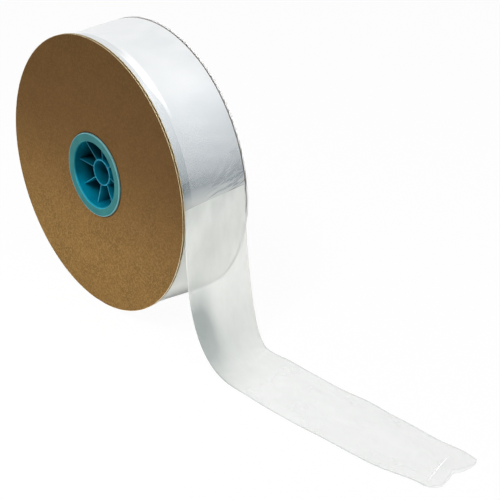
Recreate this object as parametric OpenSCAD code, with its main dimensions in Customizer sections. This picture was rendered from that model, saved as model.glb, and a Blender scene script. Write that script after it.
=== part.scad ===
// A roll of clear lay-flat poly tubing, wound on a paperboard core between two round boards of
// corrugated card. A moulded plug with a hub holds each board to its end of the core.
// The roll stands on its rim, and the free end of the tubing hangs down in front of it, turns on
// the ground and lies out flat to an open cut mouth.
// The roll's axis is Y through the origin, +Z is up, and the free end runs out along +X.

/* [Tubing] */
// Lay-flat width of the tubing
layflat_w = 76.2; // [50:0.1:110]
// Wall of the film, one ply
film_t = 0.15; // [0.1:0.01:0.25]
// Distance that the wound film stops short of the boards' rims
rim_gap = 1.9; // [0.5:0.1:12]
// Gap between the wound film's edges and each board
edge_gap = 0.1; // [0.05:0.01:1]

/* [Free end] */
// Angle above the axis at which the film's back edge leaves the roll
leave_a = 12; // [5:0.5:25]
// Angle above the axis at which its front edge, the one by the front board, leaves the roll
front_leave_a = 4; // [0:0.5:12]
// Pull of the roll on the hanging film, which sets how straight it leaves
hang_pull = 64; // [40:1:90]
// Pull of the ground on the film's front edge, which sets how wide that edge turns
toe_pull = 71; // [40:1:90]
// Distance from the roll's axis to where the front edge lies flat
toe_x = 227; // [205:1:260]
// Pull of the ground on the film's back edge, which makes a tighter turn
back_toe_pull = 28; // [15:1:60]
// Distance from the roll's axis to where the back edge lies flat
back_toe_x = 194; // [188:1:230]
// Length of film that lies flat, from there to the mouth
lying_l = 246; // [150:1:400]
// Sideways shift of the film where it reaches the ground
toe_shift = -8; // [-15:0.5:15]
// Sideways shift of the film at its mouth
mouth_shift = 5; // [-20:0.5:20]
// Thickness of the flat tube where it leaves the roll
hang_t = 0.8; // [0.6:0.05:1.2]
// Thickness of the tube at its open mouth
mouth_t = 3.2; // [1.6:0.1:3.8]
// Distance by which the cut mouth's corners fall short of its middle
mouth_bow = 6; // [0:0.5:15]
// Distance by which the film's front edge is drawn in at the mouth
mouth_draw = 8; // [0:0.5:12]

/* [Boards] */
// Diameter of the boards
disc_d = 292.1; // [280:0.1:320]
// Thickness of the corrugated board
board_t = 2.8; // [2.2:0.1:4.5]
// Thickness of each flat liner
liner_t = 0.4; // [0.25:0.05:0.6]
// Thickness of the fluted paper between the liners
flute_t = 0.3; // [0.2:0.05:0.4]
// Distance from one flute to the next
flute_pitch = 6.5; // [5.5:0.1:9]
// Width of the flat that each rim has worn where it stands
foot_w = 24; // [10:1:40]
// Gap between the plug and the board's hole
hole_gap = 0.3; // [0.1:0.05:1]

/* [Core] */
// Inside diameter of the core
core_id = 76.2; // [70:0.1:82]
// Wall of the core
core_wall = 4.8; // [3:0.1:8]
// Gap between the core and the first turn of film
wind_gap = 0.1; // [0.05:0.01:0.5]

/* [Plugs] */
// Diameter of the bore for an axle
axle_d = 25.4; // [19:0.1:32]
// Wall of the hub
hub_wall = 1.7; // [1.2:0.1:3]
// Distance from the flange's face back to the hub's rim
hub_inset = 9.9; // [4:0.1:14]
// Distance that the plug reaches in past the board's face
plug_reach = 28; // [20:0.5:34]
// Diameter of the flange
flange_d = 88.6; // [85:0.1:110]
// Thickness of the flange
flange_t = 1.9; // [1.2:0.1:3]
// Rounding of the flange's outer edge
flange_round = 0.8; // [0.3:0.1:1]
// Wall of the barrel at its mouth
barrel_wall = 2.9; // [2:0.1:4]
// Rounding of the barrel's mouth
mouth_round = 1.5; // [0.5:0.1:2]
// Gap between the barrel and the core
barrel_gap = 0.1; // [0.05:0.01:0.4]
// Draft on each side of the barrel's wall over its reach
barrel_draft = 0.5; // [0.1:0.1:0.8]
// Chamfer on the end that enters the core
lead_in = 1; // [0.3:0.1:1.5]
// Number of ribs from the hub to the barrel
rib_count = 8; // [5:1:12]
// Thickness of a rib
rib_t = 1.5; // [1:0.1:2.5]
// Rise of a rib's front edge from the hub to the barrel
rib_rise = 3; // [0:0.5:4]
// Angle of the first rib
rib_a = 37; // [0:1:45]

/* [Hidden] */
$fn = 96;
cut_past = 1;

disc_r = disc_d / 2;
film_r = disc_r - rim_gap;
core_r = core_id / 2 + core_wall;
core_l = layflat_w + 2 * edge_gap;
face_y = core_l / 2 + board_t;
ground_z = -sqrt(disc_r * disc_r - foot_w * foot_w / 4);

barrel_r = core_id / 2 - barrel_gap;
barrel_in = barrel_r - barrel_wall;
axle_r = axle_d / 2;
hub_r = axle_r + hub_wall;
hub_front = flange_t - hub_inset;
flange_r = flange_d / 2;

// The tubing. Its free end is a skin of rings, outside from the roll to the mouth and inside back
// again. A ring runs over the outer ply and back under the inner ply.
root_sink = 1;
root_inset = 0.5;
hang_rings = 22;
lying_rings = 20;
across = 10;
fold_air = 0.03;
root_r = film_r - root_sink;
mouth_x = toe_x + lying_l;

// The four points that draw one edge of the hanging film, in X and Z
function hang_points(angle, pull, x) =
    let (root = root_r * [cos(angle), sin(angle)])
    [root, root + hang_pull * [sin(angle), -cos(angle)], [x - pull, ground_z], [x, ground_z]];
front_edge = hang_points(front_leave_a, toe_pull, toe_x);
back_edge = hang_points(leave_a, back_toe_pull, back_toe_x);

function ease(t) = let (c = min(1, max(0, t))) c * c * (3 - 2 * c);
function mix(a, b, t) = a + (b - a) * t;
function bezier(p, t) =
    let (s = 1 - t) s * s * s * p[0] + 3 * s * s * t * p[1] + 3 * s * t * t * p[2] + t * t * t * p[3];
function heading(p, t) =
    let (s = 1 - t, v = s * s * (p[1] - p[0]) + 2 * s * t * (p[2] - p[1]) + t * t * (p[3] - p[2]))
    v / norm(v);

// Sideways shift, tube thickness and half width along the hanging film and along the lying film
// The film keeps square between the boards until clear_t
clear_t = 0.12;
function hang_y(t) = let (c = max(0, t - clear_t) / (1 - clear_t)) toe_shift * c * (2 - c);
function lying_y(t) = mix(toe_shift, mouth_shift, ease((t - 0.1) / 0.9));
function lying_t(t) = mix(hang_t, mouth_t, ease((t - 0.3) / 0.7));
function root_half(t) = layflat_w / 2 - root_inset * (1 - ease((t - 0.08) / 0.12));

// One ring: base points and directions out of the face at the front and back edges, shift,
// thickness, half width, wall, and how far the mouth's shape has set in
function ring(front, back, y, thick, half, wall, mouth) = [
    for (k = [0:2 * across + 1])
        let (
            top = k <= across,
            a = 180 * (top ? k : 2 * across + 1 - k) / across,
            u = -cos(a),
            puff = (thick - 2 * film_t) * sin(a),
            draw = mouth * mouth_draw * ease(-u),
            lift = wall + (top ? 2 * (film_t - wall) + (wall > 0 ? fold_air : 0) + puff : 0),
            q = mix(front[0], back[0], (u + 1) / 2) + lift * mix(front[1], back[1], (u + 1) / 2)
        )
            [q[0] - mouth * mouth_bow * u * u, y + u * (half - 2 * wall) + draw, q[1]]
];
function hang_side(p, t) = let (h = heading(p, t)) [bezier(p, t), [-h[1], h[0]]];
function lying_side(x, t) = [[mix(x, mouth_x, t), ground_z], [0, 1]];
function hang_ring(t, wall) =
    ring(hang_side(front_edge, t), hang_side(back_edge, t), hang_y(t), hang_t, root_half(t), wall, 0);
function lying_ring(t, wall) =
    let (front = lying_side(toe_x, t), back = lying_side(back_toe_x, t), mouth = ease(t * 3 - 2))
    ring(front, back, lying_y(t), lying_t(t), layflat_w / 2, wall, mouth);

free_start = 5;
outside = concat(
    [for (i = [0:hang_rings]) hang_ring(i / hang_rings, 0)],
    [for (i = [1:lying_rings]) lying_ring(i / lying_rings, 0)]
);
inside = concat(
    [for (i = [lying_rings:-1:1]) lying_ring(i / lying_rings, film_t)],
    [for (i = [hang_rings:-1:free_start]) hang_ring(i / hang_rings, film_t)]
);

// A closed skin over a list of rings that have the same number of points
module skin(rings) {
    n = len(rings[0]);
    last = (len(rings) - 1) * n;
    ends = len(rings) * n;
    polyhedron(
        points = concat([for (r = rings) each r], [middle(rings[0]), middle(rings[len(rings) - 1])]),
        faces = concat(
            [for (k = [0:n - 1]) [ends, (k + 1) % n, k]],
            [for (i = [0:len(rings) - 2], k = [0:n - 1]) each quad(i * n, k, n)],
            [for (k = [0:n - 1]) [ends + 1, last + k, last + (k + 1) % n]]
        ),
        convexity = 8
    );
}
function middle(ring_points) = [for (p = ring_points) 1] * ring_points / len(ring_points);
function quad(at, k, n) =
    let (a = at + k, b = at + (k + 1) % n)
    [[a, b, a + n], [b, b + n, a + n]];

module ring_y(r_out, r_in, length) {
    rotate([90, 0, 0])
        difference() {
            cylinder(r = r_out, h = length, center = true);
            cylinder(r = r_in, h = length + 2 * cut_past, center = true);
        }
}

module tubing() {
    color([0.88, 0.92, 0.94, 0.8])
        union() {
            ring_y(film_r, core_r + wind_gap, layflat_w);
            skin(concat(outside, inside));
        }
}

module core_tube() {
    color([0.66, 0.56, 0.42])
        ring_y(core_r, core_id / 2, core_l);
}

// The corrugated board, drawn in X and Z with its outer face at y = 0 and its thickness towards
// +Y. The flutes run upright. A wave of paper joins the two liners, and each flute is a channel
// between that wave and one liner.
wave_h = board_t - 2 * liner_t - flute_t;
wave_steps = [0.16, 0.39, 0.61, 0.84];
flutes = floor(disc_r / flute_pitch);

module flute(up) {
    base = board_t / 2 + (up ? 1 : -1) * (board_t / 2 - liner_t);
    trough = liner_t + (up ? flute_t : wave_h);
    swing = (up ? 1 : -1) * wave_h;
    wave = [for (s = wave_steps) [(s - 0.5) * flute_pitch, trough + swing * (1 + cos(360 * s)) / 2]];
    linear_extrude(height = 2 * (disc_r + cut_past), center = true)
        polygon(concat(
            [[wave[0][0], base]],
            wave,
            [[wave[len(wave) - 1][0], base]]
        ));
}

module disc() {
    difference() {
        rotate([-90, 0, 0])
            cylinder(r = disc_r, h = board_t);
        rotate([-90, 0, 0])
            translate([0, 0, -cut_past])
                cylinder(r = barrel_r + hole_gap, h = board_t + 2 * cut_past);
        translate([-foot_w, -cut_past, -2 * disc_r])
            cube([2 * foot_w, board_t + 2 * cut_past, 2 * disc_r + ground_z]);
        for (i = [-flutes:flutes])
            translate([i * flute_pitch, 0, 0])
                flute(true);
        for (i = [-flutes - 1:flutes])
            translate([(i + 0.5) * flute_pitch, 0, 0])
                flute(false);
    }
}

module front_disc() {
    color([0.55, 0.42, 0.24])
        translate([0, -face_y, 0])
            disc();
}

module back_disc() {
    color([0.55, 0.42, 0.24])
        translate([0, face_y, 0])
            mirror([0, 1, 0])
                disc();
}

// The plug, drawn along Z with its flange's seat at z = 0 and its flange towards +Z
round_steps = 6;
function arc(c, r, a, b) =
    [for (i = [0:round_steps]) c + r * [cos(mix(a, b, i / round_steps)), sin(mix(a, b, i / round_steps))]];

module plug_shell() {
    rotate_extrude()
        polygon(concat(
            [
                [barrel_in - barrel_draft, -plug_reach],
                [barrel_r - barrel_draft - lead_in, -plug_reach],
                [barrel_r - barrel_draft, -plug_reach + lead_in],
                [barrel_r, 0],
                [flange_r, 0]
            ],
            arc([flange_r - flange_round, flange_t - flange_round], flange_round, 0, 90),
            arc([barrel_in + mouth_round, flange_t - mouth_round], mouth_round, 90, 180)
        ));
}

module rib() {
    root = axle_r + hub_wall / 2;
    tip = barrel_in + barrel_wall / 3;
    rotate([90, 0, 0])
        linear_extrude(height = rib_t, center = true)
            polygon([
                [root, -plug_reach],
                [tip - barrel_draft, -plug_reach],
                [tip, hub_front + rib_rise],
                [hub_r, hub_front - hub_wall / 4],
                [root, hub_front - hub_wall / 4]
            ]);
}

module plug() {
    difference() {
        union() {
            plug_shell();
            translate([0, 0, -plug_reach])
                cylinder(r = hub_r, h = plug_reach + hub_front);
            for (i = [0:rib_count - 1])
                rotate([0, 0, rib_a + i * 360 / rib_count])
                    rib();
        }
        translate([0, 0, -plug_reach - cut_past])
            cylinder(r = axle_r, h = plug_reach + hub_front + 2 * cut_past);
    }
}

module front_plug() {
    color([0.1, 0.5, 0.6])
        translate([0, -face_y, 0])
            rotate([90, 0, 0])
                plug();
}

module back_plug() {
    color([0.1, 0.5, 0.6])
        translate([0, face_y, 0])
            rotate([-90, 0, 0])
                plug();
}

tubing();
core_tube();
front_disc();
back_disc();
front_plug();
back_plug();
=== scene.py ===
"""A roll of clear lay-flat poly tubing between two corrugated boards, with its free end lying out flat."""
import math

import bmesh
import bpy
import numpy as np
from mathutils import Matrix, Vector


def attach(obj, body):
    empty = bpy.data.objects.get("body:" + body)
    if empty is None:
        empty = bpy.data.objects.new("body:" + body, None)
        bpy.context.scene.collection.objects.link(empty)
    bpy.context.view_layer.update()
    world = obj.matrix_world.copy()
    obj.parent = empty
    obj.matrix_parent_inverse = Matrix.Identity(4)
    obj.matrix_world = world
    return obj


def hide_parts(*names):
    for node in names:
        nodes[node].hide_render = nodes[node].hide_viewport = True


# The roll, in metres, as the solids have it
TUBING_W = 0.0762
FILM = 0.00015
WOUND_R = 0.14415
BORE_R = 0.0430
BOARD_R = 0.14605
BOARD_T = 0.0028
BOARD_OUT = 0.0410
LINER = 0.0004
FLANGE_R = 0.0443
FLANGE_T = 0.0019
PLUG_OUT = 0.0380
PLUG_IN = 0.0351
PLUG_REACH = 0.028
DRAFT = 0.0005
AXLE_R = 0.0127
HUB_R = 0.0144
HUB_FRONT = -0.0080
RIB_T = 0.0015
RIB_RISE = 0.003
RIB_A = math.radians(37)
GROUND = -0.1455562

# The free end: its front edge is by the front board, its back edge by the back board
HANG_PULL = 0.064
FRONT_EDGE = {"leave": math.radians(4), "toe_pull": 0.071, "toe_x": 0.227}
BACK_EDGE = {"leave": math.radians(12), "toe_pull": 0.028, "toe_x": 0.194}
MOUTH_X = 0.473
TOE_SHIFT = -0.008
MOUTH_SHIFT = 0.005
HANG_T = 0.0008
MOUTH_T = 0.0032
CORNER_CUT = 0.0070

# The film's marks: where its fold lies in the outer turn, its swell, and the crease by the mouth
FOLD_LINE = -0.0275
SWELL_MM = 1.8
MM_PER_DEGREE = 2.516
CREASE_X = 0.4586
CREASE_SLOPE = 0.369
CORE_STRIP = 0.062


def ease(t):
    c = np.clip(t, 0.0, 1.0)
    return c * c * (3 - 2 * c)


def mix(a, b, t):
    return a + (b - a) * t


def swell(y_mm):
    """The wound film stands higher towards the back board: 0 at the front, 1 at the back."""
    return ease((y_mm + 22) / 52)


def band(first, second, count):
    """Faces between two rings of points, each ring with the given count."""
    near, far = first * count, second * count
    return [(near + k, far + k, far + (k + 1) % count, near + (k + 1) % count) for k in range(count)]


# Node trees


def add(tree, kind, inputs=None, **settings):
    """Adds a node. An input's value is a number, a colour or another node's output."""
    node = tree.nodes.new(kind)
    for name, value in settings.items():
        setattr(node, name, value)
    for key, value in (inputs or {}).items():
        if isinstance(value, bpy.types.NodeSocket):
            tree.links.new(value, node.inputs[key])
        else:
            node.inputs[key].default_value = value
    return node


def sums(tree, operation, a, b=0.0, clamp=False):
    node = add(tree, "ShaderNodeMath", {0: a, 1: b}, operation=operation, use_clamp=clamp)
    return node.outputs[0]


def times(tree, a, b):
    return sums(tree, "MULTIPLY", a, b)


def ramp(tree, value, low, high, to_low=0.0, to_high=1.0):
    node = add(
        tree,
        "ShaderNodeMapRange",
        {"Value": value, "From Min": low, "From Max": high, "To Min": to_low, "To Max": to_high},
        interpolation_type="SMOOTHSTEP",
    )
    return node.outputs["Result"]


def noise(tree, where, scale, detail=3.0, roughness=0.55):
    node = add(
        tree,
        "ShaderNodeTexNoise",
        {"Vector": where, "Scale": scale, "Detail": detail, "Roughness": roughness},
    )
    return node.outputs["Fac"]


def tint(tree, fac, a, b):
    node = add(tree, "ShaderNodeMix", data_type="RGBA")
    for socket, value in ((node.inputs[0], fac), (node.inputs[6], a), (node.inputs[7], b)):
        if isinstance(value, bpy.types.NodeSocket):
            tree.links.new(value, socket)
        else:
            socket.default_value = value
    return node.outputs[2]


def stretched(tree, where, scale):
    return add(tree, "ShaderNodeMapping", {"Vector": where, "Scale": scale}).outputs["Vector"]


def bump(tree, height, strength, distance):
    node = add(tree, "ShaderNodeBump", {"Height": height, "Strength": strength, "Distance": distance})
    return node.outputs["Normal"]


def finish(name):
    """A new material: its tree, its shader and its Object coordinates."""
    material = bpy.data.materials.new(name)
    material.use_nodes = True
    tree = material.node_tree
    shader = tree.nodes["Principled BSDF"]
    where = add(tree, "ShaderNodeTexCoord").outputs["Object"]
    return material, tree, shader, where


def from_axis(tree, where):
    """Distance from the roll's axis, place along it and height over it."""
    parts = add(tree, "ShaderNodeSeparateXYZ", {"Vector": where}).outputs
    xx = times(tree, parts["X"], parts["X"])
    zz = times(tree, parts["Z"], parts["Z"])
    return sums(tree, "SQRT", sums(tree, "ADD", xx, zz)), parts["Y"], parts["Z"]


def from_mesh(tree, name):
    """A number that the mesh holds at each of its points."""
    node = add(tree, "ShaderNodeAttribute", attribute_name=name, attribute_type="GEOMETRY")
    return node.outputs["Fac"]


def srgb(red, green, blue):
    """A colour as it is seen, from 0 to 255, turned into the shader's numbers."""
    shares = [c / 255 for c in (red, green, blue)]
    linear = [c / 12.92 if c <= 0.04 else ((c + 0.055) / 1.055) ** 2.4 for c in shares]
    return (*linear, 1.0)


# Finishes


def kraft_finish():
    """Brown kraft liners, mottled with short fibres, and paler paper where the board is cut; the face and
    rim also carry painted shade and painted light.
    """
    material, tree, shader, where = finish("kraft_board")
    cloudy = noise(tree, where, 34.0, 4.0, 0.6)
    specks = noise(tree, where, 620.0, 3.0, 0.7)
    fibres = noise(tree, stretched(tree, where, (1.0, 1.0, 0.22)), 900.0, 2.0, 0.6)
    flecks = noise(tree, stretched(tree, where, (1.0, 1.0, 0.5)), 260.0, 2.0, 0.5)
    base = tint(tree, ramp(tree, cloudy, 0.3, 0.7), srgb(100, 75, 38), srgb(112, 84, 43))
    base = tint(tree, ramp(tree, specks, 0.42, 0.64), base, srgb(130, 100, 56))
    radius, along, height = from_axis(tree, where)
    # Painted shade: the board's colour is darker towards its top
    base = tint(tree, ramp(tree, height, -0.12, 0.06, 0.0, 0.7), base, srgb(80, 54, 26))
    base = tint(tree, ramp(tree, fibres, 0.62, 0.8, 0.0, 0.5), base, srgb(94, 67, 34))
    base = tint(tree, ramp(tree, flecks, 0.68, 0.8, 0.0, 0.6), base, srgb(88, 62, 32))
    # Depth is the distance from the middle of the board's thickness
    inner = sums(tree, "SUBTRACT", BOARD_OUT - BOARD_T / 2, sums(tree, "ABSOLUTE", along))
    depth = sums(tree, "ABSOLUTE", inner)
    liner_from = BOARD_T / 2 - LINER
    between = ramp(tree, depth, liner_from - 0.00002, liner_from + 0.00002, 1.0, 0.0)
    # Painted shadow: a dark ring on the board round the plug's flange, where the gap between them lies in
    # shade
    gap_shade = ramp(tree, radius, FLANGE_R + 0.0005, FLANGE_R + 0.0016, 0.9, 0.0)
    base = tint(tree, gap_shade, base, srgb(46, 32, 18))
    rim = ramp(tree, radius, BOARD_R - 0.0004, BOARD_R - 0.0001)
    pale = tint(tree, ramp(tree, specks, 0.3, 0.7), srgb(196, 176, 132), srgb(226, 212, 176))
    # Painted light: the cut rim is painted paler towards its lower part
    pale = tint(tree, ramp(tree, height, -0.06, -0.01, 0.9, 0.0), pale, srgb(255, 246, 218))
    base = tint(tree, rim, base, pale)
    base = tint(tree, times(tree, between, 0.55), base, srgb(120, 96, 62))
    # The back board's rim is painted grey as painted shade; above its lower part, but for its inner edge,
    # the rim and the flute hollows by it are painted white as painted light
    painted_rim_shade = times(tree, rim, ramp(tree, along, BOARD_OUT - 0.0040, BOARD_OUT - 0.0030))
    base = tint(tree, painted_rim_shade, base, srgb(78, 70, 62))
    painted_rim_light = ramp(tree, along, BOARD_OUT - BOARD_T + 0.0003, BOARD_OUT - BOARD_T + 0.0006)
    hollow = ramp(tree, depth, liner_from + 0.00005, liner_from + 0.00015, 1.0, 0.0)
    hollow = times(tree, hollow, ramp(tree, radius, BOARD_R - 0.030, BOARD_R - 0.020))
    edge = sums(tree, "MAXIMUM", rim, hollow)
    painted_rim_light = times(tree, painted_rim_light, ramp(tree, height, -0.09, -0.06))
    base = tint(tree, times(tree, painted_rim_light, edge), base, srgb(255, 255, 255))
    shader.inputs["Roughness"].default_value = 0.82
    shader.inputs["Specular IOR Level"].default_value = 0.1
    tree.links.new(base, shader.inputs["Base Color"])
    grain = sums(tree, "ADD", times(tree, fibres, 0.6), specks)
    tree.links.new(bump(tree, grain, 0.35, 0.0002), shader.inputs["Normal"])
    return material


def core_finish():
    """Plain paperboard in spiral strips, with a fine line where one strip meets the next."""
    material, tree, shader, where = finish("core_paper")
    parts = add(tree, "ShaderNodeSeparateXYZ", {"Vector": where}).outputs
    angle = sums(tree, "ARCTAN2", parts["Z"], parts["X"])
    strip = sums(tree, "ADD", times(tree, parts["Y"], 1 / CORE_STRIP), times(tree, angle, 0.5 / math.pi))
    seam = sums(tree, "ABSOLUTE", sums(tree, "SUBTRACT", sums(tree, "FRACT", strip), 0.5))
    specks = noise(tree, where, 500.0, 3.0, 0.7)
    base = tint(tree, ramp(tree, specks, 0.3, 0.7), srgb(146, 122, 88), srgb(172, 148, 112))
    base = tint(tree, ramp(tree, seam, 0.01, 0.02, 0.7, 0.0), base, srgb(92, 70, 46))
    shader.inputs["Roughness"].default_value = 0.8
    tree.links.new(base, shader.inputs["Base Color"])
    tree.links.new(bump(tree, specks, 0.3, 0.0002), shader.inputs["Normal"])
    return material


def plug_finish():
    """Blue-green moulded plastic, glossy inside and duller on the flange, where it is worn; painted
    highlights mark its edges and painted shade its bore.
    """
    material, tree, shader, where = finish("plug_plastic")
    radius, along, height = from_axis(tree, where)
    away = sums(tree, "ABSOLUTE", along)
    outside = ramp(tree, away, BOARD_OUT - 0.0008, BOARD_OUT + 0.0006)
    flange = times(tree, outside, ramp(tree, radius, PLUG_IN - 0.0006, PLUG_IN - 0.0002))
    flow = noise(tree, where, 60.0, 3.0, 0.5)
    grain = noise(tree, where, 1500.0, 2.0, 0.6)
    inside = tint(tree, ramp(tree, flow, 0.3, 0.7), srgb(0, 112, 138), srgb(2, 128, 154))
    # Painted shade: the bore is painted darker further in, and darker on its upper side outside the hub
    deep_shade = ramp(tree, away, BOARD_OUT - 0.020, BOARD_OUT - 0.003, 0.75, 0.0)
    inside = tint(tree, deep_shade, inside, srgb(2, 46, 58))
    upper = ramp(tree, height, -0.024, -0.004, 0.0, 0.6)
    shaded = times(tree, upper, ramp(tree, radius, HUB_R, HUB_R + 0.002))
    inside = tint(tree, shaded, inside, srgb(0, 44, 50))
    rubbed_and_highlit = tint(tree, ramp(tree, flow, 0.3, 0.7), srgb(12, 90, 92), srgb(22, 100, 100))
    # Painted highlight: a pale line round the flange's rounded outer edge
    edge_highlight = ramp(tree, radius, FLANGE_R - 0.0012, FLANGE_R - 0.0006, 0.0, 0.5)
    rubbed_and_highlit = tint(tree, edge_highlight, rubbed_and_highlit, srgb(136, 184, 188))
    # Painted highlight: a bright cyan ring round the flange's inner lip, stronger at the bottom
    lower = ramp(tree, height, -0.02, 0.0, 0.8, 0.2)
    lip = ramp(tree, radius, PLUG_IN + 0.0004, PLUG_IN + 0.0012, lower, 0.0)
    rubbed_and_highlit = tint(tree, lip, rubbed_and_highlit, srgb(30, 150, 176))
    shader.inputs["Specular IOR Level"].default_value = 0.15
    tree.links.new(tint(tree, flange, inside, rubbed_and_highlit), shader.inputs["Base Color"])
    tree.links.new(mix_roughness(tree, flange, grain), shader.inputs["Roughness"])
    shader.inputs["Subsurface Weight"].default_value = 0.05
    shader.inputs["Subsurface Radius"].default_value = (0.4, 0.9, 1.0)
    shader.inputs["Subsurface Scale"].default_value = 0.002
    tree.links.new(bump(tree, grain, 0.15, 0.0001), shader.inputs["Normal"])
    return material


def mix_roughness(tree, flange, grain):
    shiny = ramp(tree, grain, 0.2, 0.8, 0.24, 0.32)
    return sums(tree, "ADD", shiny, times(tree, flange, 0.16))


def wound_finish():
    """Many turns of clear film, which together look milky and mirror the room softly."""
    material, tree, shader, where = finish("wound_film")
    radius, along, height = from_axis(tree, where)
    side = ramp(tree, radius, WOUND_R - 0.006, WOUND_R - 0.003, 1.0, 0.0)
    rings = noise(tree, add(tree, "ShaderNodeCombineXYZ", {"X": radius}).outputs[0], 1800.0)
    cloudy = noise(tree, stretched(tree, where, (1.0, 0.6, 1.0)), 22.0, 3.0, 0.5)
    face = tint(tree, ramp(tree, cloudy, 0.3, 0.7), srgb(226, 229, 231), srgb(235, 237, 238))
    # A cooler grey painted on the strip between the front board and the line of the fold as painted
    # reflection, and a white painted highlight by it
    strip = ramp(tree, along, FOLD_LINE - 0.0004, FOLD_LINE + 0.0004, 1.0, 0.0)
    cool = times(tree, ramp(tree, height, 0.0, 0.03), ramp(tree, height, 0.055, 0.085, 0.85, 0.4))
    cool = sums(tree, "ADD", cool, ramp(tree, height, 0.095, 0.115, 0.0, 0.1))
    face = tint(tree, times(tree, strip, cool), face, srgb(201, 207, 209))
    front_of = ramp(tree, height, 0.098, 0.125, FOLD_LINE, FOLD_LINE - 0.0055)
    streak = ramp(tree, sums(tree, "SUBTRACT", along, front_of), 0.0, 0.0015)
    streak = times(tree, streak, ramp(tree, along, -0.0242, -0.0226, 1.0, 0.0))
    white = times(tree, ramp(tree, height, 0.090, 0.105), ramp(tree, height, 0.135, 0.142, 0.8, 0.0))
    face = tint(tree, times(tree, streak, white), face, srgb(255, 255, 255))
    # Past where the free end leaves them the turns hang slack, and look matt and milky
    slope = sums(tree, "SUBTRACT", height, times(tree, along, 0.05))
    slope = sums(tree, "ADD", slope, times(tree, cloudy, 0.008))
    slant = sums(tree, "SUBTRACT", height, times(tree, along, 0.29))
    stroke = add(tree, "ShaderNodeCombineXYZ", {"X": times(tree, slant, 11.0), "Y": along}).outputs[0]
    pull = ramp(tree, noise(tree, stroke, 30.0, 2.0, 0.5), 0.48, 0.62)
    pull = times(tree, pull, ramp(tree, along, -0.016, 0.0))
    slope = sums(tree, "ADD", slope, times(tree, pull, 0.012))
    taut = ramp(tree, slope, 0.015, 0.037)
    # Painted shade: the matt turns are greyer from a little above the axis up, and darker on the underside
    # by the floor
    under = ramp(tree, height, -0.115, -0.085, 0.8, 0.0)
    milky = tint(tree, under, srgb(250, 252, 247), srgb(168, 171, 168))
    milky = tint(tree, ramp(tree, height, 0.004, 0.012), milky, srgb(200, 204, 201))
    face = tint(tree, taut, milky, face)
    edge = tint(tree, rings, srgb(196, 204, 206), srgb(226, 231, 232))
    tree.links.new(tint(tree, side, face, edge), shader.inputs["Base Color"])
    tree.links.new(times(tree, taut, 0.75), shader.inputs["Metallic"])
    tree.links.new(ramp(tree, height, -0.10, -0.02, 0.8, 0.24), shader.inputs["Roughness"])
    fine = noise(tree, stretched(tree, where, (1.0, 0.35, 1.0)), 150.0, 2.0, 0.5)
    tree.links.new(bump(tree, fine, 0.12, 0.0006), shader.inputs["Normal"])
    return material


def free_finish():
    """Two plies of clear film, hazier where they hang and along the folds, clear where they lie."""
    material, tree, shader, where = finish("free_film")
    uv = add(tree, "ShaderNodeUVMap", uv_map="run").outputs["UV"]
    haze, painted_shade, gleam = (from_mesh(tree, name) for name in ("haze", "painted_shade", "gleam"))
    soft = noise(tree, stretched(tree, uv, (3.0, 9.0, 1.0)), 1.0, 3.0, 0.5)
    base = tint(tree, ramp(tree, haze, 0.1, 0.6), srgb(217, 220, 219), srgb(246, 248, 243))
    # Painted shade darkens the film where the mesh holds it
    base = tint(tree, painted_shade, base, srgb(150, 160, 156))
    # One straight crease slants across the upper skin by the mouth, painted white along it as a painted
    # highlight
    parts = add(tree, "ShaderNodeSeparateXYZ", {"Vector": where}).outputs
    off = sums(tree, "ADD", parts["X"], times(tree, parts["Y"], CREASE_SLOPE))
    off = sums(tree, "ABSOLUTE", sums(tree, "SUBTRACT", off, CREASE_X))
    line = ramp(tree, off, 0.0004, 0.0009, 0.9, 0.0)
    line = times(tree, line, ramp(tree, parts["Y"], -0.019, -0.017))
    line = times(tree, line, ramp(tree, parts["Y"], 0.021, 0.024, 1.0, 0.0))
    line = times(tree, line, gleam)
    base = tint(tree, line, base, (1.0, 1.0, 1.0, 1.0))
    tree.links.new(base, shader.inputs["Base Color"])
    milk = times(tree, haze, ramp(tree, soft, 0.2, 0.8, 0.85, 1.15))
    # On the roll the free end is one with the outer turn, and shows only from this slanting line on
    rise = sums(tree, "SUBTRACT", parts["Z"], times(tree, parts["Y"], 0.105))
    leaves = ramp(tree, rise, 0.0138, 0.0142, 1.0, 0.0)
    shown = times(tree, sums(tree, "MAXIMUM", milk, line, clamp=True), leaves)
    tree.links.new(shown, shader.inputs["Alpha"])
    shader.inputs["Roughness"].default_value = 0.22
    shader.inputs["IOR"].default_value = 1.5
    return material


# Wound film


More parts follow.
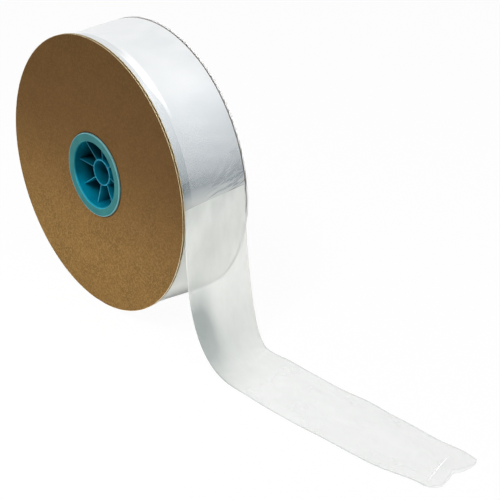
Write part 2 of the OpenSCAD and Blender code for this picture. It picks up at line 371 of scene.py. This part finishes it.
def wound_tree(material):
    """A hollow cylinder of turns about Z: outer face, two ends and bore, welded into one skin."""
    tree = bpy.data.node_groups.new("wound turns", "GeometryNodeTree")
    sockets = {}
    for name, kind in (
        ("Outer radius", "NodeSocketFloat"),
        ("Bore radius", "NodeSocketFloat"),
        ("Width", "NodeSocketFloat"),
        ("Around", "NodeSocketInt"),
        ("Across", "NodeSocketInt"),
        ("Depth steps", "NodeSocketInt"),
    ):
        sockets[name] = tree.interface.new_socket(name, in_out="INPUT", socket_type=kind).identifier
    tree.interface.new_socket("Film", in_out="OUTPUT", socket_type="NodeSocketGeometry")
    given = add(tree, "NodeGroupInput").outputs
    half = times(tree, given["Width"], 0.5)

    def tube(radius, steps):
        node = add(
            tree,
            "GeometryNodeMeshCylinder",
            {
                "Vertices": given["Around"],
                "Side Segments": steps,
                "Radius": radius,
                "Depth": given["Width"],
            },
            fill_type="NONE",
        )
        return node.outputs["Mesh"]

    def end(at):
        node = add(
            tree,
            "GeometryNodeMeshCone",
            {
                "Vertices": given["Around"],
                "Side Segments": given["Depth steps"],
                "Radius Top": given["Bore radius"],
                "Radius Bottom": given["Outer radius"],
                "Depth": 0.0,
            },
            fill_type="NONE",
        )
        place = add(tree, "ShaderNodeCombineXYZ", {"Z": at}).outputs[0]
        moved = {"Geometry": node.outputs["Mesh"], "Translation": place}
        return add(tree, "GeometryNodeTransform", moved).outputs[0]

    flip = [
        add(tree, "GeometryNodeFlipFaces", {"Mesh": m}).outputs[0]
        for m in (tube(given["Bore radius"], 1), end(times(tree, half, -1.0)))
    ]
    join = add(tree, "GeometryNodeJoinGeometry")
    for part in (tube(given["Outer radius"], given["Across"]), end(half), *flip):
        tree.links.new(part, join.inputs[0])
    weld = add(tree, "GeometryNodeMergeByDistance", {"Geometry": join.outputs[0], "Distance": 0.00001})
    smooth = add(tree, "GeometryNodeSetShadeSmooth", {"Geometry": weld.outputs[0], "Shade Smooth": True})
    real = add(tree, "GeometryNodeRealizeInstances", {"Geometry": smooth.outputs[0]})
    coat = add(tree, "GeometryNodeSetMaterial", {"Geometry": real.outputs[0], "Material": material})
    out = add(tree, "NodeGroupOutput")
    tree.links.new(coat.outputs[0], out.inputs[0])
    return tree, sockets


def from_tree(name, tree, values, start=None):
    """Runs a Geometry Nodes tree on a mesh, or on none, and keeps its result as a plain mesh."""
    holder = bpy.data.objects.new(name, start or bpy.data.meshes.new(name))
    bpy.context.scene.collection.objects.link(holder)
    modifier = holder.modifiers.new(name, "NODES")
    modifier.node_group = tree
    for identifier, value in values.items():
        modifier[identifier] = value
    bpy.context.view_layer.update()
    shown = holder.evaluated_get(bpy.context.evaluated_depsgraph_get())
    mesh = bpy.data.meshes.new_from_object(shown)
    holder.modifiers.remove(modifier)
    holder.data = mesh
    mesh.name = name
    return holder


def read_points(mesh):
    points = np.empty(len(mesh.vertices) * 3)
    mesh.vertices.foreach_get("co", points)
    return points.reshape(-1, 3)


def write_points(mesh, points):
    mesh.vertices.foreach_set("co", np.asarray(points, float).ravel())
    mesh.update()


def bell(x, middle, spread):
    return np.exp(-(((x - middle) / spread) ** 2))


def wound_film(material):
    tree, ids = wound_tree(material)
    piece = from_tree(
        "wound_film",
        tree,
        {
            ids["Outer radius"]: WOUND_R,
            ids["Bore radius"]: BORE_R,
            ids["Width"]: TUBING_W - 0.0001,
            ids["Around"]: 720,
            ids["Across"]: 84,
            ids["Depth steps"]: 10,
        },
    )
    piece.data.transform(Matrix.Rotation(math.radians(-90), 4, "X"))
    p = read_points(piece.data)
    radius = np.hypot(p[:, 0], p[:, 2])
    turn = np.degrees(np.arctan2(p[:, 2], p[:, 0]))
    y = p[:, 1] * 1000
    # The turns slump towards both boards, past a faint line where the fold of the tubing lies
    front = np.clip((FOLD_LINE * 1000 - y) / 10.6, 0, 1)
    back = np.clip((y - 31.0) / 7.1, 0, 1)
    rise = SWELL_MM * swell(y) - 0.8 * front**1.1 - 0.15 * back**2
    # Slack in the outer turns: long swells round the roll, and creases where the film leaves it
    way = np.radians(turn)
    rise += 0.07 * np.sin(5 * way + 0.07 * y) * np.sin(0.05 * y + 1.3)
    rise += 0.03 * np.sin(11 * way - 0.11 * y + 2.0)
    round_mm = turn * MM_PER_DEGREE
    slant = round_mm - 0.9 * y
    crease = bell(turn, 9.0, 7.0) * bell(y, 14.0, 17.0)
    rise += 0.09 * crease * np.sin(slant / 1.9 + 0.6 * np.sin(y / 6.0))
    rise += 0.06 * bell(turn, 27.0, 12.0) * bell(y, 8.0, 24.0) * np.sin(round_mm / 2.6 + 0.12 * y)
    rise += 0.03 * bell(turn, 48.0, 14.0) * np.sin(round_mm / 6.0 + 0.25 * y)
    fine = np.sin(round_mm / 1.7 + 0.10 * y + 0.8 * np.sin(y / 9.0))
    rise += 0.035 * bell(turn, 44.0, 14.0) * bell(y, 10.0, 20.0) * fine
    outer = np.clip((radius - 0.10) / (WOUND_R - 0.10), 0, 1)
    scale = 1 + rise / 1000 * outer**6 / np.maximum(radius, 0.01)
    p[:, 0] *= scale
    p[:, 2] = np.maximum(p[:, 2] * scale, GROUND + 0.0001)
    write_points(piece.data, p)
    return piece


# Free end

ACROSS = 44
BEFORE = 12
LYING_Z = GROUND + 0.00008
HANG_RINGS = 120
LYING_RINGS = 180


def edge_route(leave, toe_pull, toe_x):
    """Points in X and Z down one edge of the film: on the roll, hanging, then lying."""
    root_r = WOUND_R + 0.00012
    start = leave + np.radians(np.linspace(10, 0, BEFORE, endpoint=False))
    root = root_r * np.array([math.cos(leave), math.sin(leave)])
    pull = root + HANG_PULL * np.array([math.sin(leave), -math.cos(leave)])
    toe = np.array([toe_x, LYING_Z])
    bend = toe - np.array([toe_pull, 0.0])
    t = np.linspace(0, 1, HANG_RINGS)[:, None]
    hang = (1 - t) ** 3 * root + 3 * (1 - t) ** 2 * t * pull + 3 * (1 - t) * t * t * bend + t**3 * toe
    lie = np.c_[mix(toe_x, MOUTH_X, to_mouth()), np.full(LYING_RINGS, LYING_Z)]
    return np.vstack([root_r * np.c_[np.cos(start), np.sin(start)], hang, lie])


def to_mouth():
    """Shares of the way from where the film lies flat to its mouth, closer together by the mouth."""
    share = np.linspace(0, 1, LYING_RINGS + 1)[1:]
    return 1.25 * share - 0.25 * share**3


def free_end(material):
    a = np.linspace(0, math.pi, ACROSS + 1)
    u = -np.cos(a)
    u_row = u[None, :]
    to_back = (u_row[:, :, None] + 1) / 2
    path = mix(edge_route(**FRONT_EDGE)[:, None], edge_route(**BACK_EDGE)[:, None], to_back)
    rings = len(path)
    step = np.gradient(path, axis=0)
    step /= np.linalg.norm(step, axis=2)[:, :, None]
    out = np.stack([-step[:, :, 1], step[:, :, 0]], axis=2)
    middle = path[:, ACROSS // 2]
    run = np.r_[0, np.cumsum(np.linalg.norm(np.diff(middle, axis=0), axis=1))]
    t_hang = np.clip((np.arange(rings) - BEFORE) / (HANG_RINGS - 1), 0, 1)
    t_lie = np.r_[np.zeros(rings - LYING_RINGS), to_mouth()]
    drift = np.clip((t_hang - 0.12) / 0.88, 0, 1)
    shift = TOE_SHIFT * drift * (2 - drift)
    shift = np.where(t_lie > 0, mix(TOE_SHIFT, MOUTH_SHIFT, ease((t_lie - 0.1) / 0.9)), shift)
    thick = mix(HANG_T, MOUTH_T, ease((t_lie - 0.3) / 0.7))
    thick = mix(0.0003, thick, ease(t_hang * 5))
    half = TUBING_W / 2 - 0.0004 * (1 - ease(t_hang * 4))
    # The wound film stands higher by the back board, and the free end leaves it from there
    stand = SWELL_MM / 1000 * swell(u_row * 38.1) * (1 - ease(t_hang * 3))[:, None]
    # Fine slanting creases where the film comes away from the roll
    s_mm = run[:, None] * 1000
    from_root = s_mm - run[BEFORE] * 1000
    pinch = bell(from_root, 4.0, 13.0) * bell(u_row, 0.35, 0.5)
    stand = stand + 0.00010 * pinch * np.sin((from_root - 16 * u_row) / 1.9 + 0.8 * np.sin(5 * u_row))
    lying = ease(t_lie * 6)

    # Slow waves in the lying film, shallow dents by its folds, and the lips of the open mouth
    wave = 0.5 * np.sin(s_mm / 21 + 2.2 * u_row) + 0.35 * np.sin(s_mm / 12.5 - 3.1 * u_row + 1.0)
    wave *= 0.15 * ease((t_lie - 0.2) / 0.4)[:, None] * (1 - u_row**2)
    lip = ease((t_lie - 0.86) / 0.14)[:, None]
    wave += lip * (0.9 * np.sin(4.1 * u_row + 0.8) + 0.2) * (1 - u_row**2)
    side_wave = np.sin(s_mm / 17.0) * 0.9 + np.sin(s_mm / 9.0 + 1.1) * 0.5
    dents = lying[:, None] * side_wave * np.where(u_row > 0, 1.0, 0.35) * np.abs(u_row) ** 3

    def ply(lift, inset):
        """One skin of points: lift is its height over the route, inset its distance in from the folds."""
        reach = (half[:, None] - inset) * u_row + dents / 1000
        x, z = np.moveaxis(path + (lift + stand)[:, :, None] * out, 2, 0)
        y = shift[:, None] + reach
        corner = CORNER_CUT * np.where(u_row < 0, np.abs(u_row) ** 16, np.abs(u_row) ** 8)
        nick = 0.0036 * bell(u_row, 0.12, 0.15) - 0.0045 * bell(u_row, -0.6, 0.32)
        cut = lip * (corner + nick)
        draw = ease((t_lie - 0.71) / 0.3)[:, None]
        y = y + 0.0092 * draw * ease(-u_row)
        y = y - (0.0028 * bell(t_lie, 0.03, 0.07) + 0.0015 * bell(t_lie, 0.82, 0.1))[:, None] * ease(u_row)
        z = z + 0.0006 * draw * ease(-u_row - 0.1)
        return np.stack([x - cut, y, z], axis=2)

    puff = (thick[:, None] - 2 * FILM) * np.sin(a)[None, :]
    flat = ply(np.zeros_like(puff), 0.0)
    crease = bell(flat[:, :, 0] + CREASE_SLOPE * flat[:, :, 1], CREASE_X, 0.0012)
    wave += 0.25 * crease * bell(u_row, -0.1, 0.5)
    top = np.maximum(puff + wave / 1000, 0.00002)
    low = np.zeros_like(top)
    skins = {
        "outer_top": ply(low + 2 * FILM + top, 0.0),
        "outer_low": ply(low, 0.0),
        "inner_top": ply(low + FILM + top * 0.995, 2 * FILM),
        "inner_low": ply(low + FILM, 2 * FILM),
    }
    outer = np.concatenate([skins["outer_top"], skins["outer_low"][:, ::-1]], axis=1)
    inner = np.concatenate([skins["inner_top"], skins["inner_low"][:, ::-1]], axis=1)
    n = outer.shape[1]
    points = np.concatenate([outer.reshape(-1, 3), inner.reshape(-1, 3)])
    base = rings * n
    faces = []
    for i in range(rings - 1):
        for outward, inward in zip(band(i, i + 1, n), band(rings + i, rings + i + 1, n)):
            faces += [outward, inward[::-1]]
    for i in (0, rings - 1):
        for k in range(n):
            k2 = (k + 1) % n
            ring = (i * n + k, i * n + k2, base + i * n + k2, base + i * n + k)
            faces.append(ring if i == 0 else ring[::-1])
    mesh = bpy.data.meshes.new("free_end")
    mesh.from_pydata(points.tolist(), [], faces)
    mesh.materials.append(material)

    side_u = np.r_[u, u[::-1]][None, :]
    uv = np.stack(np.broadcast_arrays(side_u / 2 + 0.5, run[:, None] / run[-1]), axis=2).reshape(-1, 2)
    layer = mesh.uv_layers.new(name="run")
    corners = np.empty(len(mesh.loops), int)
    mesh.loops.foreach_get("vertex_index", corners)
    layer.data.foreach_set("uv", np.tile(uv, (2, 1))[corners].ravel())

    # How milky each skin is along the run, with the folds paler and the first turn fading in
    along = (run - run[BEFORE])[:, None]
    haze = mix(0.55, 0.30, ease((along - 0.12) / 0.12))
    haze = mix(0.92, haze, ease((along - 0.02) / 0.04)) * ease((along + 0.012) / 0.006)
    fold = ease((np.abs(side_u) - 0.970) / 0.012)
    haze = haze + 0.16 * fold * ease((along - 0.02) / 0.02)
    # Painted shade: darker patches where the film hangs, at its root, along its folds where it lies, and at
    # the mouth's cut edge
    painted_shade = 0.92 * bell(along, 0.125, 0.038) * ease((-0.15 - side_u) / 0.6)
    painted_shade = painted_shade + 0.60 * bell(along, 0.156, 0.040) * (0.7 - 0.3 * side_u)
    haze = haze + 0.1 * painted_shade
    painted_shade = painted_shade + 0.28 * (1 - ease((along - 0.01) / 0.04))
    painted_shade = painted_shade + 0.7 * ease((along - 0.16) / 0.02) * fold
    painted_shade = painted_shade + 0.5 * ease((along - along[-1] + 0.0012) / 0.0006)
    gleam = np.zeros((rings, n))
    gleam[:, : ACROSS + 1] = 1.0
    haze = haze * np.where(np.arange(n) <= ACROSS, 1.0, 0.7)[None, :]
    for name, outer_value, inner_share in (("haze", haze, 0.12), ("painted_shade", painted_shade, 1.0), ("gleam", gleam, 0.0)):
        spread = np.clip(np.broadcast_to(outer_value, (rings, n)).reshape(-1), 0, 1)
        attribute = mesh.attributes.new(name, "FLOAT", "POINT")
        attribute.data.foreach_set("value", np.concatenate([spread, spread * inner_share]))
    mesh.validate()
    mesh.shade_smooth()
    piece = bpy.data.objects.new("free_end", mesh)
    bpy.context.scene.collection.objects.link(piece)
    return piece, run[-1]


# Plugs


def lathe(profile, side, steps=144):
    """A closed profile of (radius, distance out past the board's face), turned about the roll's axis."""
    turn = np.linspace(0, 2 * math.pi, steps, endpoint=False)
    rings = np.array(profile)
    radius, out = rings[:, 0][:, None], rings[:, 1][:, None]
    x = radius * np.cos(turn)
    z = radius * np.sin(turn)
    y = np.broadcast_to(side * (BOARD_OUT + out), x.shape)
    n = len(profile)
    faces = [face for i in range(n) for face in band(i, (i + 1) % n, steps)]
    return np.stack([x, y, z], axis=2).reshape(-1, 3).tolist(), faces


def arc(centre, radius, start, stop, steps=7):
    turn = np.radians(np.linspace(start, stop, steps))
    return [(centre[0] + radius * math.cos(a), centre[1] + radius * math.sin(a)) for a in turn]


def shell_profile():
    """Barrel with draft and a lead-in, and the flange with its rounded mouth."""
    return [
        (PLUG_IN - DRAFT, -PLUG_REACH),
        (PLUG_OUT - DRAFT - 0.001, -PLUG_REACH),
        (PLUG_OUT - DRAFT, -PLUG_REACH + 0.001),
        (PLUG_OUT, -0.0004),
        (PLUG_OUT + 0.0003, 0.0),
        *arc((FLANGE_R - 0.0003, 0.0003), 0.0003, -90, 0, 4),
        *arc((FLANGE_R - 0.0008, FLANGE_T - 0.0008), 0.0008, 0, 90),
        *arc((PLUG_IN + 0.0015, FLANGE_T - 0.0015), 0.0015, 90, 180, 9),
    ]


def hub_profile():
    """The hub's tube, with a rounded rim."""
    return [
        (AXLE_R, -PLUG_REACH),
        (HUB_R, -PLUG_REACH),
        *arc((HUB_R - 0.0006, HUB_FRONT - 0.0006), 0.0006, 0, 90, 5),
        *arc((AXLE_R + 0.0004, HUB_FRONT - 0.0004), 0.0004, 90, 180, 5),
    ]


def solid(parts):
    """One mesh of several closed skins, their faces turned outwards."""
    shape = bmesh.new()
    for points, faces in parts:
        corners = [shape.verts.new(p) for p in points]
        for face in faces:
            shape.faces.new([corners[i] for i in face])
    bmesh.ops.recalc_face_normals(shape, faces=shape.faces)
    mesh = bpy.data.meshes.new("part")
    shape.to_mesh(mesh)
    shape.free()
    return mesh


def rib_mesh(side):
    """One rib along +X, from the hub to the barrel, with a rounded front edge that rises outwards."""
    stations = [
        (AXLE_R + 0.0009, HUB_FRONT - 0.0005),
        (HUB_R + 0.0012, HUB_FRONT - 0.0002),
        (0.5 * (HUB_R + PLUG_IN), HUB_FRONT + 0.4 * RIB_RISE),
        (PLUG_IN - 0.002, HUB_FRONT + 0.8 * RIB_RISE),
        (PLUG_IN + 0.0009, HUB_FRONT + RIB_RISE + 0.0003),
    ]
    points = []
    for radius, top in stations:
        rounded = reversed(arc((0.0, top - RIB_T / 2), RIB_T / 2, 0, 180, 9))
        for wide, out in [(-RIB_T / 2, -PLUG_REACH), *rounded, (RIB_T / 2, -PLUG_REACH)]:
            narrower = DRAFT if out == -PLUG_REACH and radius > PLUG_IN else 0
            points.append((radius - narrower, side * (BOARD_OUT + out), wide))
    n = len(points) // len(stations)
    faces = [face for i in range(len(stations) - 1) for face in band(i, i + 1, n)]
    last = (len(stations) - 1) * n
    faces += [tuple(range(n)), tuple(range(last, last + n))]
    return solid([(points, faces)])


def ribs_tree(material):
    """Copies of the given rib, evenly spaced about the roll's axis."""
    tree = bpy.data.node_groups.new("plug ribs", "GeometryNodeTree")
    sockets = {}
    tree.interface.new_socket("Rib", in_out="INPUT", socket_type="NodeSocketGeometry")
    for name, kind in (("Count", "NodeSocketInt"), ("First angle", "NodeSocketFloat")):
        sockets[name] = tree.interface.new_socket(name, in_out="INPUT", socket_type=kind).identifier
    tree.interface.new_socket("Ribs", in_out="OUTPUT", socket_type="NodeSocketGeometry")
    given = add(tree, "NodeGroupInput").outputs
    points = add(tree, "GeometryNodePoints", {"Count": given["Count"]})
    step = sums(tree, "DIVIDE", 2 * math.pi, given["Count"])
    place = add(tree, "GeometryNodeInputIndex").outputs[0]
    turn = sums(tree, "ADD", given["First angle"], times(tree, place, step))
    spin = add(tree, "ShaderNodeCombineXYZ", {"Y": turn}).outputs[0]
    copies = add(
        tree,
        "GeometryNodeInstanceOnPoints",
        {"Points": points.outputs[0], "Instance": given["Rib"], "Rotation": spin},
    )
    real = add(tree, "GeometryNodeRealizeInstances", {"Geometry": copies.outputs[0]})
    coat = add(tree, "GeometryNodeSetMaterial", {"Geometry": real.outputs[0], "Material": material})
    out = add(tree, "NodeGroupOutput")
    tree.links.new(coat.outputs[0], out.inputs[0])
    return tree, sockets


def plug(name, side, material):
    """Shell, hub and ribs of one plug in one mesh. side is -1 at the front board and 1 at the back."""
    tree, ids = ribs_tree(material)
    ribs = from_tree(name, tree, {ids["Count"]: 8, ids["First angle"]: side * RIB_A}, rib_mesh(side))
    shape = bmesh.new()
    shape.from_mesh(ribs.data)
    shape.from_mesh(solid([lathe(shell_profile(), side), lathe(hub_profile(), side)]))
    mesh = ribs.data
    shape.to_mesh(mesh)
    shape.free()
    mesh.materials.clear()
    mesh.materials.append(material)
    mesh.shade_smooth()
    mesh.set_sharp_from_angle(angle=math.radians(38))
    return ribs


# Stage


def plain(name, points, material):
    mesh = bpy.data.meshes.new(name)
    mesh.from_pydata(points, [], [tuple(range(len(points)))])
    mesh.materials.append(material)
    piece = bpy.data.objects.new(name, mesh)
    bpy.context.scene.collection.objects.link(piece)
    return piece


def lit_for_view(tree):
    """1 for light that the camera, a reflection or a clear piece sees, and 0 for all other light."""
    rays = add(tree, "ShaderNodeLightPath").outputs
    seen = sums(tree, "MAXIMUM", rays["Is Camera Ray"], rays["Is Transmission Ray"])
    return sums(tree, "MAXIMUM", seen, rays["Is Glossy Ray"])


def floor_finish():
    material = bpy.data.materials.new("pale_floor")
    material.use_nodes = True
    tree = material.node_tree
    tree.nodes.clear()
    matt = add(tree, "ShaderNodeBsdfDiffuse", {"Color": (0.86, 0.86, 0.86, 1.0)})
    white = add(tree, "ShaderNodeEmission", {"Color": (1.0, 1.0, 1.0, 1.0), "Strength": 1.0})
    seen = lit_for_view(tree)
    blend = add(tree, "ShaderNodeMixShader", {0: times(tree, seen, 0.96)})
    tree.links.new(matt.outputs[0], blend.inputs[1])
    tree.links.new(white.outputs[0], blend.inputs[2])
    out = add(tree, "ShaderNodeOutputMaterial")
    tree.links.new(blend.outputs[0], out.inputs[0])
    return material


CARD_AWAY = 2.6
CARD_TOP = 4.0
SHEET_FROM = 0.62


def card_finish():
    material = bpy.data.materials.new("grey_card")
    material.use_nodes = True
    tree = material.node_tree
    tree.nodes.clear()
    where = add(tree, "ShaderNodeTexCoord").outputs["Object"]
    up = add(tree, "ShaderNodeSeparateXYZ", {"Vector": where}).outputs["Z"]
    share = sums(tree, "DIVIDE", sums(tree, "MAXIMUM", up, 0.0), CARD_AWAY, clamp=True)
    shade = tint(tree, sums(tree, "SQRT", share), (0.16, 0.20, 0.22, 1.0), (0.92, 0.94, 0.96, 1.0))
    glow = add(tree, "ShaderNodeEmission", {"Color": shade, "Strength": 1.0})
    out = add(tree, "ShaderNodeOutputMaterial")
    tree.links.new(glow.outputs[0], out.inputs[0])
    return material


def stage():
    corners = [(-6, -6), (6, -6), (6, 6), (-6, 6)]
    ground = plain("floor", [(x, y, GROUND - 0.0002) for x, y in corners], floor_finish())
    # A grey card beyond the free end and a grey sheet before it, which only the film's shine shows
    out = Vector((0.84, 0.54, 0.0)).normalized()
    wide = Vector((-out.y, out.x, 0.0)) * 2.4
    low = Vector((0.0, 0.0, GROUND + 0.001))
    high = Vector((0.0, 0.0, CARD_TOP))
    grey = card_finish()
    far = out * CARD_AWAY
    near = out * SHEET_FROM
    card = plain("card", [far - wide + low, far + wide + low, far + wide + high, far - wide + high], grey)
    sheet = plain("sheet", [near - wide + low, near + wide + low, far + wide + low, far - wide + low], grey)
    for piece in (card, sheet):
        piece.visible_camera = False
        piece.visible_diffuse = False
        piece.visible_transmission = False
        piece.visible_shadow = False

    world = bpy.data.worlds.new("room")
    bpy.context.scene.world = world
    world.use_nodes = True
    tree = world.node_tree
    tree.nodes.clear()
    seen = lit_for_view(tree)
    level = ramp(tree, seen, 0.0, 1.0, 0.12, 1.0)
    glow = add(tree, "ShaderNodeBackground", {"Color": (1.0, 1.0, 1.0, 1.0), "Strength": level})
    out = add(tree, "ShaderNodeOutputWorld")
    tree.links.new(glow.outputs[0], out.inputs[0])

    def soft_light(name, at, target, wide, high, power, mirrored=True):
        lamp = bpy.data.lights.new(name, "AREA")
        lamp.shape = "RECTANGLE"
        lamp.size = wide
        lamp.size_y = high
        lamp.energy = power
        holder = bpy.data.objects.new(name, lamp)
        holder.location = at
        holder.rotation_euler = (Vector(target) - Vector(at)).to_track_quat("-Z", "Y").to_euler()
        holder.visible_camera = False
        holder.visible_glossy = mirrored
        bpy.context.scene.collection.objects.link(holder)

    soft_light("overhead", (0.6, -0.3, 1.7), (0.05, 0.0, 0.0), 1.4, 1.4, 16.5)
    soft_light("right_fill", (2.3, 0.5, 0.7), (0.15, 0.0, -0.05), 1.2, 1.2, 14.0, mirrored=False)
    soft_light("front_key", (0.35, -1.0, 1.6), (0.0, 0.0, 0.0), 0.4, 0.4, 19.0)
    soft_light("front_low", (-0.03, -0.30, -0.07), (0.0, -0.04, -0.16), 0.5, 0.12, 0.7)


def camera():
    azimuth, elevation = math.radians(50.223), math.radians(26.534)
    lens = bpy.data.cameras.new("camera")
    lens.sensor_width = 36.0
    lens.sensor_fit = "HORIZONTAL"
    lens.lens = 129.6
    holder = bpy.data.objects.new("camera", lens)
    level = math.cos(elevation)
    look = Vector((-math.sin(azimuth) * level, math.cos(azimuth) * level, -math.sin(elevation)))
    right = Vector((math.cos(azimuth), math.sin(azimuth), 0.0))
    up = right.cross(look)
    holder.matrix_world = Matrix(
        (
            (right.x, up.x, -look.x, 1.3894),
            (right.y, up.y, -look.y, -0.9920),
            (right.z, up.z, -look.z, 0.7511),
            (0, 0, 0, 1),
        )
    )
    bpy.context.scene.collection.objects.link(holder)
    bpy.context.scene.camera = holder


# Assembly

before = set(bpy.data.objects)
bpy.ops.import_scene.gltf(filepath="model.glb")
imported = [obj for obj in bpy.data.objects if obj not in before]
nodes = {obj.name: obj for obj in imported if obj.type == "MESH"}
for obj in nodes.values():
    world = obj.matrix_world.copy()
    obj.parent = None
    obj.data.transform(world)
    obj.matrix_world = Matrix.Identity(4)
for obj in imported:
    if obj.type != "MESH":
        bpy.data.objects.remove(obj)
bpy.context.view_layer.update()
scene = bpy.context.scene
scene.view_settings.view_transform = "Standard"
camera()
stage()

kraft = kraft_finish()
for name, finish_of in (("front_disc", kraft), ("back_disc", kraft), ("core_tube", core_finish())):
    nodes[name].data.materials.clear()
    nodes[name].data.materials.append(finish_of)

film = wound_film(wound_finish())
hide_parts("tubing")
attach(film, "root")

free, length = free_end(free_finish())
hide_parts("tubing")
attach(free, "root")

plastic = plug_finish()
for node, side in (("front_plug", -1), ("back_plug", 1)):
    piece = plug(f"moulded_{node}", side, plastic)
    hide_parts(node)
    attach(piece, "root")
